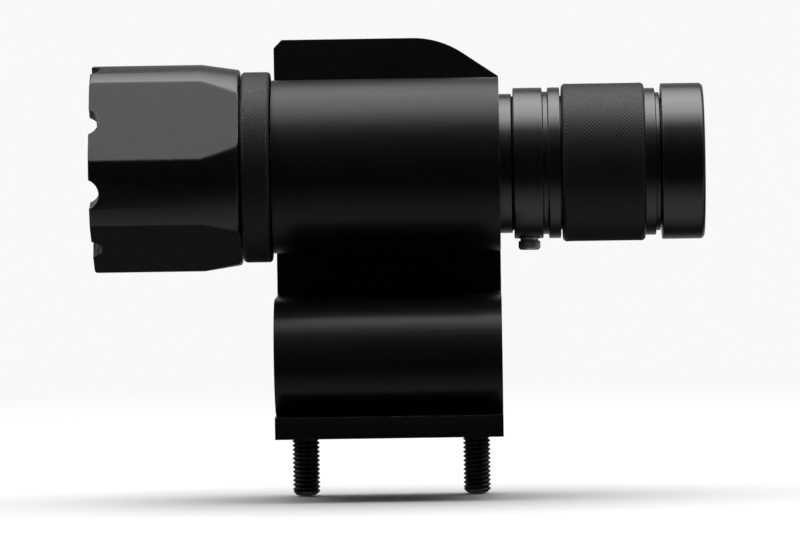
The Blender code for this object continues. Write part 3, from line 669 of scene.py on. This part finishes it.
def make_clip():
    low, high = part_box("clip")
    bore = arc((LAMP.y, LAMP.z), RING_BORE_R, 0, 357, 119)
    body = section_curve("clip_section", [clip_section(), bore], high.x - low.x)
    body.rotation_euler = (QUARTER, 0, QUARTER)
    body = realised("clip_fine", body)
    corner = section_curve("corner_tool", [plate_corner()], 4 * PLATE_THICK)
    corner.rotation_euler = (QUARTER, 0, 0)
    corner.location = (0, high.y, 0)
    corner = realised("corner_cut", corner)
    tilt = Matrix.Translation((low.x, high.y, high.z)) @ Matrix.Rotation(QUARTER / 2, 4, "Y")
    side = PLATE_CHAMFER * math.sqrt(2)
    chamfer = block("chamfer_cut", (side, 4 * PLATE_THICK, side), tilt)
    taps = []
    for node in ("clamp_screw_front", "clamp_screw_rear"):
        hole_r = outer(node) + FIT
        taps.append(prism("tap_" + node, hole_r, low.z - MM, -JAW_GAP + MM, upright(node), 48))
    body = cut(body, corner, chamfer, *taps)
    stand_in(softened(body, 0.3 * MM), "clip", CLIP_BLACK)


# ---------------------------------------------------------------- clamp screws and pads


def socket(name, across, bottom, depth, place):
    """A hexagon socket with a flat floor, as a cutter opening downwards."""
    return prism(name, across / math.sqrt(3), bottom - MM, bottom + depth, place, 6)


def make_clamp_screw(node, joint):
    low, high = ends(node, 2)
    radius = outer(node)
    nose_r, nose = 1.5 * MM, 1.8 * MM
    shoulder = high - nose
    chamfer = 0.7 * MM
    outline = [(low, 0), (low, radius - chamfer), (low + chamfer, radius)]
    outline += [(shoulder - chamfer, radius), (shoulder, radius - chamfer)]
    outline += [(shoulder, nose_r), (high, nose_r), (high, 0)]
    lead = pitch(joint)
    outline = divided(rounded(outline, 0.12 * MM, 2), low + chamfer, shoulder - chamfer, lead / 10)
    place = upright(node)
    cutting = thread(low + 0.3 * MM, shoulder - 0.3 * MM, lead, 0.42 * MM, radius)
    screw = turned(node + "_fine", outline, place, 64, cutting)
    screw = cut(screw, socket(node + "_socket", 2.5 * MM, low, 3 * MM, place))
    stand_in(screw, node, BLACK_OXIDE)


def make_clamp_pad(node):
    low, high = ends(node, 2)
    radius = outer(node)
    recess_r, recess_top = 1.75 * MM, low + 2.2 * MM
    rib = 0.25 * MM
    outline = [(recess_top, 0), (recess_top, recess_r), (low, recess_r), (low, radius - 0.5 * MM)]
    outline += [(low + 0.5 * MM, radius), (high - 0.5 * MM, radius), (high, radius - 0.5 * MM)]
    for groove in (3.4 * MM, 2.2 * MM, 1.0 * MM):
        outline += [(high, groove + rib), (high - rib, groove), (high, groove - rib)]
    outline += [(high, 0)]
    stand_in(turned(node + "_fine", rounded(outline, 0.1 * MM), upright(node), 96), node, NYLON)


# ---------------------------------------------------------------- head

FLATS = 4
FLAT_DISTANCE = 16.85 * MM
NOTCHES = 8
NOTCH_R = 2.8 * MM
NOTCH_DEPTH = 1.8 * MM
LIP_LENGTH = 2.8 * MM
LIP_R = 13.8 * MM
BEZEL_BORE_R = 15.0 * MM
BEZEL_TAPER_LENGTH = 6.9 * MM
BEZEL_TAPER_R = 17.8 * MM
RUN_OUT = 0.12 * MM  # how softly a flat or a notch runs out
THREAD_DEPTH = 0.4 * MM  # of the threads that the bezel and the tail cap turn on
THREAD_STEPS = 8  # rings of points in one pitch
KNURL_STEPS = 4  # rings and rows of points in one diamond


def nearest(turn, count):
    """Angle from a direction to the nearest of evenly spaced ones."""
    share = math.tau / count
    return (turn - FLAT_TURN + share / 2) % share - share / 2


def bezel_shape(front):
    """Four milled flats on the outside, and round scallops along the front edge."""

    def shape(station, radius, turn):
        if radius > BEZEL_BORE_R + 0.7 * MM:
            flat = FLAT_DISTANCE / math.cos(nearest(turn, FLATS))
            radius = soft_low(radius, flat, RUN_OUT)
        aside = radius * math.sin(nearest(turn, NOTCHES))
        bite = math.sqrt(max(0, NOTCH_R**2 - aside**2)) - (NOTCH_R - NOTCH_DEPTH)
        bite = -soft_low(-bite, 0, RUN_OUT)
        reach = LIP_LENGTH - 0.1 * MM
        back = station - front
        if back < reach:
            station += bite * (1 - back / reach)
        return station, radius

    return shape


def make_bezel():
    front, rear = ends("bezel")
    radius = outer("bezel")
    taper_front = rear - BEZEL_TAPER_LENGTH
    lip_rear = front + LIP_LENGTH
    outline = [
        (rear, BEZEL_TAPER_R),
        (taper_front, radius),
        (front, radius),
        (front, LIP_R),
        (lip_rear, LIP_R),
        (lip_rear, BEZEL_BORE_R),
        (rear, BEZEL_BORE_R),
    ]
    outline = divided(rounded(outline, 0.5 * MM, 5), lip_rear, rear, 0.5 * MM)
    outline = divided(outline, front + 0.5 * MM, lip_rear + 0.5 * MM, 0.4 * MM)
    bezel = turned("bezel_fine", outline, ALONG_LAMP, 720, bezel_shape(front))
    stand_in(bezel, "bezel", BEZEL_BLACK)


def make_head_housing():
    front, rear = ends("head_housing")
    radius = outer("head_housing")
    collar = ends("bezel")[1] + GAP
    sleeve_r = 14.7 * MM
    seal_front, seal_rear = ends("head_seal")
    groove = (seal_front - 0.18 * MM, seal_rear + 0.18 * MM)
    groove_r = sleeve_r - 1.15 * MM
    shoulder = collar - 5.0 * MM
    bore_r, sleeve_bore_r = 12.25 * MM, 11.2 * MM
    chamfer, slope = 0.5 * MM, 0.35 * MM
    outline = [
        (front, sleeve_bore_r),
        (front, sleeve_r),
        (groove[0], sleeve_r),
        (groove[0], groove_r),
        (groove[1], groove_r),
        (groove[1], sleeve_r),
        (collar, sleeve_r),
        (collar, radius - slope),
        (collar + chamfer, radius),
        (rear - chamfer, radius),
        (rear, radius - slope),
        (rear, bore_r),
        (shoulder, bore_r),
        (shoulder, sleeve_bore_r),
    ]
    outline = rounded(outline, 0.15 * MM, 2)
    lead = pitch("bezel_turn")
    around, along = 120, 7
    band_front, band_rear = collar + chamfer, rear - chamfer
    diamond = (band_rear - band_front) / along
    outline = divided(outline, band_front, band_rear, diamond / KNURL_STEPS)
    outline = divided(outline, front, groove[0], lead / THREAD_STEPS)
    pattern = knurl(band_front, band_rear, around, diamond, 0.16 * MM, radius)
    screwing = thread(front + 0.2 * MM, groove[0] - 0.6 * MM, lead, THREAD_DEPTH, sleeve_r)
    sides = KNURL_STEPS * around
    housing = turned("head_housing_fine", outline, ALONG_LAMP, sides, both(pattern, screwing))
    stand_in(housing, "head_housing", KNURL_BLACK)


def make_seals():
    seals = ("head_seal", "tail_seal", "switch_seal", "lens_gasket")
    for node in seals + ("grip_ring_front", "grip_ring_rear"):
        front, rear = ends(node)
        section_r = (rear - front) / 2
        piece = ring(node + "_fine", (front + rear) / 2, outer(node) - section_r, section_r, ALONG_LAMP)
        stand_in(piece, node, RUBBER)


def make_lens():
    front, rear = ends("lens")
    radius = outer("lens")
    outline = [(front, 0), (front, radius), (rear, radius), (rear, 0)]
    stand_in(turned("lens_fine", rounded(outline, 0.3 * MM), ALONG_LAMP), "lens", GLASS)


def make_reflector():
    front, rear = ends("reflector")
    wall = 1.0 * MM
    rim_r = outer("reflector") - wall
    hole_r = 3.2 * MM
    neck_r = outer("led_centering_ring")
    rim_rear = front + 1.2 * MM
    grow = (rim_r**2 - hole_r**2) / (rear - front)
    radii = [hole_r + (rim_r - hole_r) * i / 40 for i in range(41)]
    inside = [(rear - (r**2 - hole_r**2) / grow, r) for r in radii]
    outside = [(s + wall, r + wall) for s, r in inside if r + wall > neck_r and s + wall > rim_rear + wall]
    rim = [(front, rim_r + wall), (rim_rear, rim_r + wall)]
    outline = inside + rim + outside[::-1] + [(rear, neck_r)]
    stand_in(turned("reflector_fine", outline, ALONG_LAMP), "reflector", MIRROR)


def make_led():
    low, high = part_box("led_emitter")
    size = high.y - low.y
    base_thick = 0.8 * MM
    base_front = high.x - base_thick
    place = Matrix.Translation((high.x - base_thick / 2, LAMP.y, LAMP.z))
    base = softened(block("led_emitter_fine", (base_thick, size, size), place), 0.08 * MM)
    dome_r = 1.3 * MM
    foot = base_front + base_thick / 4
    profile = [(low.x, 0)] + arc((low.x + dome_r, 0), dome_r, 174, 90, 14)
    profile += [(foot, dome_r), (foot, 0)]
    dome = turned("led_dome", profile, ALONG_LAMP, 48)
    stand_in(joined(base, dome), "led_emitter", PHOSPHOR)


def make_centering_ring():
    node = "led_centering_ring"
    front, rear = ends(node)
    hole_r, radius = 2.7 * MM, outer(node)
    outline = rounded([(front, hole_r), (front, radius), (rear, radius), (rear, hole_r)], 0.12 * MM)
    stand_in(turned(node + "_fine", outline, ALONG_LAMP, 96), node, WHITE)


# ---------------------------------------------------------------- body and tail


def make_battery_tube():
    front, rear = ends("battery_tube")
    radius = outer("battery_tube")
    bore_r, thread_r, step_r = 9.5 * MM, 12.0 * MM, 12.2 * MM
    head = ends("head_housing")[1] + GAP
    stop = ends("stop_collar")[0] - GAP
    outline = [(front, bore_r), (front, thread_r), (head, thread_r), (head, radius)]
    for node in ("grip_ring_front", "grip_ring_rear"):
        low, high = ends(node)
        outline += groove_outline(low, high, radius, 1.2 * MM)
    outline += [(stop, radius), (stop, step_r)]
    low, high = ends("tail_seal")
    outline += groove_outline(low, high, step_r, 1.15 * MM)
    outline += [(rear, step_r), (rear, bore_r)]
    outline = rounded(outline, 0.2 * MM, 3)
    lead = pitch("tail_cap_turn")
    start = high + 1.0 * MM
    outline = divided(outline, start, rear, lead / THREAD_STEPS)
    cutting = thread(start, rear - 0.3 * MM, lead, THREAD_DEPTH, step_r)
    tube = turned("battery_tube_fine", outline, ALONG_LAMP, 128, cutting)
    stand_in(tube, "battery_tube", TURNED_BLACK)


def groove_outline(low, high, surface, depth):
    """A groove for a ring that lies between two stations."""
    slack = 0.2 * MM
    floor = surface - depth
    return [(low - slack, surface), (low - slack, floor), (high + slack, floor), (high + slack, surface)]


def make_stop_collar():
    front, rear = ends("stop_collar")
    radius = outer("stop_collar")
    bore_r, groove_r = 12.45 * MM, 13.0 * MM
    groove = (rear - 3.2 * MM, rear - 2.2 * MM)
    outline = [(front, bore_r), (front, radius), (groove[0], radius), (groove[0], groove_r)]
    outline += [(groove[1], groove_r), (groove[1], radius), (rear, radius), (rear, bore_r)]
    collar = turned("stop_collar_fine", rounded(outline, EDGE), ALONG_LAMP)
    screw = middle("lock_screw")
    down = Matrix.Translation((screw.x, LAMP.y, LAMP.z)) @ Matrix.Rotation(math.pi, 4, "X")
    hole = prism("lock_hole", outer("lock_screw") + 0.15 * MM, groove_r - 2 * MM, radius + MM, down, 48)
    stand_in(cut(collar, hole), "stop_collar", TURNED_BLACK)


def make_lock_screw():
    """Its end stands out of the collar as a plain round head, undercut where it meets the collar."""
    low, high = ends("lock_screw", 2)
    radius = outer("lock_screw")
    collar_bottom = LAMP.z - outer("stop_collar")
    head_top = collar_bottom - 0.45 * MM
    neck_r = radius - 0.35 * MM
    lead = 0.7 * MM
    chamfer = 0.35 * MM
    outline = [(low, 0), (low, radius - chamfer), (low + chamfer, radius), (head_top, radius)]
    outline += [(head_top, neck_r), (collar_bottom, neck_r), (collar_bottom, radius)]
    outline += [(high - chamfer, radius), (high, radius - chamfer), (high, 0)]
    outline = rounded(outline, 0.1 * MM, 2)
    outline = divided(outline, collar_bottom, high - chamfer, lead / THREAD_STEPS)
    place = upright("lock_screw")
    cutting = thread(collar_bottom + 0.25 * MM, high - 0.25 * MM, lead, 0.3 * MM, radius)
    screw = turned("lock_screw_fine", outline, place, 64, cutting)
    stand_in(cut(screw, socket("lock_socket", 2.0 * MM, low, 1.5 * MM, place)), "lock_screw", STAINLESS)


def make_tail_cap():
    """A knurled grip with a smooth neck behind it, whose faces have the finish of turned metal."""
    front, rear = ends("tail_cap")
    radius = outer("tail_cap")
    ring_front = ends("tail_ring")[0]
    neck_rear = ring_front - 1.1 * MM
    cap_rear = neck_rear - 1.9 * MM
    spigot_r, groove_r, neck_r = 11.6 * MM, 12.6 * MM, 13.4 * MM
    bore_r, cell_pocket_r, switch_pocket_r = 12.45 * MM, 8.8 * MM, 9.6 * MM
    inner_shoulder = ends("battery_tube")[1] + GAP
    pocket = ends("switch_board")[0] - GAP
    band_front, band_rear = front + 1.0 * MM, cap_rear - 1.0 * MM
    corner_r = 0.8 * MM
    outline = [(front, bore_r)]
    outline += arc((front + corner_r, radius - corner_r), corner_r, 180, 90, 8)
    outline += [(band_front, radius), (band_rear, radius)]
    outline += arc((cap_rear - corner_r, radius - corner_r), corner_r, 90, 0, 8)
    outline += [(cap_rear, neck_r), (neck_rear, neck_r), (neck_rear, groove_r)]
    outline += [(ring_front - GAP, groove_r), (ring_front - GAP, spigot_r)]
    low, high = ends("switch_seal")
    outline += groove_outline(low, high, spigot_r, 1.0 * MM)
    outline += [(rear, spigot_r), (rear, switch_pocket_r), (pocket, switch_pocket_r)]
    outline += [(pocket, cell_pocket_r), (inner_shoulder, cell_pocket_r), (inner_shoulder, bore_r)]
    outline = rounded(outline, 0.15 * MM, 3)
    around, along = 112, 17
    diamond = (band_rear - band_front) / along
    outline = divided(outline, band_front, band_rear, diamond / KNURL_STEPS)
    pattern = knurl(band_front, band_rear, around, diamond, 0.13 * MM, radius)
    cap = turned("tail_cap_fine", outline, ALONG_LAMP, KNURL_STEPS * around, pattern)
    stand_in(cap, "tail_cap", KNURL_BLACK)
    cap.data.materials.append(TURNED_BLACK)
    for face in cap.data.polygons:
        face.material_index = 1 if face.center.x > cap_rear - 0.2 * MM else 0


def make_tail_ring():
    front, rear = ends("tail_ring")
    radius = outer("tail_ring")
    bore_r = 11.85 * MM
    button_hole_r = outer("switch_boot") - 1.75 * MM
    flange_r = outer("switch_boot") + 0.5 * MM
    lip_front = rear - 1.6 * MM
    chamber_front = ends("tail_cap")[1] + GAP
    chamfer, countersink = 0.5 * MM, 0.9 * MM
    outline = [(front, bore_r), (front, radius), (rear - chamfer, radius), (rear, radius - chamfer)]
    outline += [(rear, button_hole_r + countersink), (rear - countersink, button_hole_r)]
    outline.append((lip_front, button_hole_r))
    outline += [(lip_front, flange_r), (chamber_front, flange_r), (chamber_front, bore_r)]
    stand_in(turned("tail_ring_fine", rounded(outline, EDGE), ALONG_LAMP), "tail_ring", TURNED_BLACK)


def make_switch_boot():
    front, face = ends("switch_boot")
    flange_r = outer("switch_boot")
    flange_rear = front + 0.9 * MM
    button_r, hollow_r = 6.5 * MM, 5.6 * MM
    hollow_rear = face - 1.2 * MM
    outline = [(hollow_rear, 0), (hollow_rear, hollow_r), (front, hollow_r), (front, flange_r)]
    outline += [(flange_rear, flange_r), (flange_rear, button_r), (face - 0.5 * MM, button_r)]
    crown = face - 0.1 * MM
    outline += bend((face - 0.5 * MM, button_r), (crown, button_r), (crown, button_r - 0.8 * MM))[1:]
    valley = face - 0.25 * MM
    for ridge in (5.0 * MM, 3.6 * MM, 2.2 * MM):
        outline += [(face, ridge), (face, ridge - 0.5 * MM)]
        outline += [(valley, ridge - 0.7 * MM), (valley, ridge - 1.1 * MM)]
    outline += [(face, 0.8 * MM), (face, 0)]
    outline = rounded(outline, 0.12 * MM, 3)
    stand_in(turned("switch_boot_fine", outline, ALONG_LAMP, 128), "switch_boot", RUBBER)


def coil(node, front_r, rear_r, turns):
    """A coned compression spring inside its CAD node's length, with closed ends."""
    front, rear = ends(node)
    wire_r = 0.4 * MM
    per_turn = 36
    count = turns * per_turn
    points = []
    for i in range(count + 1):
        share = i / count
        radius = front_r + (rear_r - front_r) * share
        turn = math.tau * turns * share
        station = front + wire_r + (rear - front - 2 * wire_r) * share
        points.append((radius * math.cos(turn), radius * math.sin(turn), station))
    stand_in(wire(node + "_fine", points, wire_r, ALONG_LAMP), node, SPRING)


def keep_node(node, material):
    """A CAD node whose shape is right stays, and gets a finished material."""
    item = frame["nodes"][node]
    item.data.materials.clear()
    item.data.materials.append(material)


# ---------------------------------------------------------------- stage

PALE = 0.94  # brightness of the backdrop and the floor
FLOOR_FADE = (0.05, 0.40)  # distances over which the floor turns into the backdrop
ROOM_RADIANCE = 0.03
BOX_RADIANCE = 5.2
GLOW_RADIANCE = 0.35
BOUNCE_RADIANCE = 0.5
REAR_RADIANCE = 0.35
# Where each light starts, is full, starts to fade and ends, in degrees about the lamp
BOX_BAND = (55, 80, 104, 142)
GLOW_BAND = (25, 66, 100, 150)
BOUNCE_BAND = (-116, -86, -62, -28)
REAR_RISE = (135, 165)
BOX_SIDES = (0.55, 0.85)  # how far the box reaches along the lamp, where it starts to fade and ends
LAMP_TO_CAMERA = 1.2
EYE = (17.6 * MM, 46.2 * MM)  # x and z of the camera
VIEW_WIDTH = 146 * MM
VIEW_CENTRE = (2.2 * MM, 8.4 * MM)
VIEW_ROLL = math.radians(0.9)


def floor_material():
    """Pale and matt, fading into the backdrop further off. From below it is clear."""
    made, tree, shader = new_material("pale_floor")
    tone = mixed(tree, grain(tree, 30 * MM, 3), grey(0.50), grey(0.52))
    feed(tree, shader, Base_Color=tone, Roughness=0.9)
    far = add(tree, "Emission", {"Color": grey(PALE), "Strength": 1.0})
    length = add(tree, "VectorMath", {0: places(tree)}, operation="LENGTH").outputs["Value"]
    share = ranged(tree, length, 0.0, 1.0, *FLOOR_FADE)
    above = add(tree, "MixShader", {0: share, 1: shader.outputs[0], 2: far.outputs[0]})
    below = add(tree, "BsdfTransparent")
    side = add(tree, "NewGeometry").outputs["Backfacing"]
    mix = add(tree, "MixShader", {0: side, 1: above.outputs[0], 2: below.outputs[0]})
    tree.links.new(mix.outputs[0], tree.nodes["Material Output"].inputs["Surface"])
    return made


def make_floor():
    """Only the camera sees the floor. What it throws back at the lamp is in the world's light."""
    mesh = bmesh.new()
    bmesh.ops.create_circle(mesh, cap_ends=True, segments=96, radius=12.0)
    floor = finished("floor", mesh)
    floor.location.z = CAD_BOX[0].z - 0.2 * MM
    floor.data.materials.append(floor_material())
    floor.visible_glossy = False
    floor.visible_diffuse = False


def band(tree, angle, start, full, fade, end):
    """1 between two angles, fading to 0 outside them."""
    rise = ranged(tree, angle, 0, 1, start, full)
    return times(tree, rise, ranged(tree, angle, 1, 0, fade, end))


def make_world():
    """A wide soft box overhead, pale paper below and a dim wall behind, in a dark room.

    Heights are in degrees about the lamp: 0 is towards the camera, 90 up and -90 down.
    """
    world = bpy.data.worlds.new("studio")
    bpy.context.scene.world = world
    world.use_nodes = True
    tree = world.node_tree
    tree.nodes.clear()
    way = add(tree, "SeparateXYZ", {0: add(tree, "TexCoord").outputs["Generated"]})
    forward = times(tree, way.outputs["Y"], -1.0)
    height = add(tree, "Math", {0: way.outputs["Z"], 1: forward}, operation="ARCTAN2").outputs[0]
    height = times(tree, height, 180 / math.pi)
    side = add(tree, "Math", {0: way.outputs["X"]}, operation="ABSOLUTE").outputs[0]
    off_front = add(tree, "Math", {0: height}, operation="ABSOLUTE").outputs[0]
    lights = (
        (times(tree, band(tree, height, *BOX_BAND), ranged(tree, side, 1, 0, *BOX_SIDES)), BOX_RADIANCE),
        (band(tree, height, *GLOW_BAND), GLOW_RADIANCE),
        (band(tree, height, *BOUNCE_BAND), BOUNCE_RADIANCE),
        (ranged(tree, off_front, 0, 1, *REAR_RISE), REAR_RADIANCE),
    )
    light = ROOM_RADIANCE
    for share, radiance in lights:
        light = add(tree, "Math", {0: share, 1: radiance, 2: light}, operation="MULTIPLY_ADD").outputs[0]
    room = add(tree, "Background", {"Color": grey(1.0), "Strength": light})
    backdrop = add(tree, "Background", {"Color": grey(PALE), "Strength": 1.0})
    seen = add(tree, "LightPath").outputs["Is Camera Ray"]
    mix = add(tree, "MixShader", {0: seen, 1: room.outputs[0], 2: backdrop.outputs[0]})
    output = add(tree, "OutputWorld")
    tree.links.new(mix.outputs[0], output.inputs["Surface"])


def make_camera():
    """From outside the helmet, nearly square to the lamp and a little above it."""
    camera = bpy.data.cameras.new("camera")
    camera.lens = LAMP_TO_CAMERA * camera.sensor_width / VIEW_WIDTH
    camera.clip_start = 0.01
    made = bpy.data.objects.new("camera", camera)
    bpy.context.scene.collection.objects.link(made)
    made.location = (EYE[0], LAMP.y - LAMP_TO_CAMERA, EYE[1])
    looked_at = Vector((VIEW_CENTRE[0], LAMP.y, VIEW_CENTRE[1]))
    made.rotation_euler = (looked_at - made.location).to_track_quat("-Z", "Y").to_euler()
    made.rotation_euler.rotate_axis("Z", -VIEW_ROLL)
    bpy.context.scene.camera = made


make_clip()
for end in ("front", "rear"):
    make_clamp_screw("clamp_screw_" + end, "clamp_" + end + "_turn")
    make_clamp_pad("clamp_pad_" + end)
make_bezel()
make_head_housing()
make_seals()
make_lens()
make_reflector()
make_led()
make_centering_ring()
make_battery_tube()
make_stop_collar()
make_lock_screw()
make_tail_cap()
make_tail_ring()
make_switch_boot()
coil("driver_spring", 4.2 * MM, 2.4 * MM, 3)
coil("tail_spring", 3.2 * MM, 5.6 * MM, 3)
for node, finish in (
    ("led_board", LED_BOARD),
    ("led_wire_positive", RED),
    ("led_wire_negative", BLACK),
    ("heat_sink", BARE),
    ("driver_board", BOARD),
    ("cell_front", SLEEVE),
    ("cell_rear", SLEEVE),
    ("switch_board", BOARD),
    ("switch_body", NYLON),
    ("switch_plunger", WHITE),
    ("switch_retainer", BRASS),
):
    keep_node(node, finish)
make_floor()
make_world()
make_camera()
bpy.context.scene.view_settings.view_transform = "Standard"
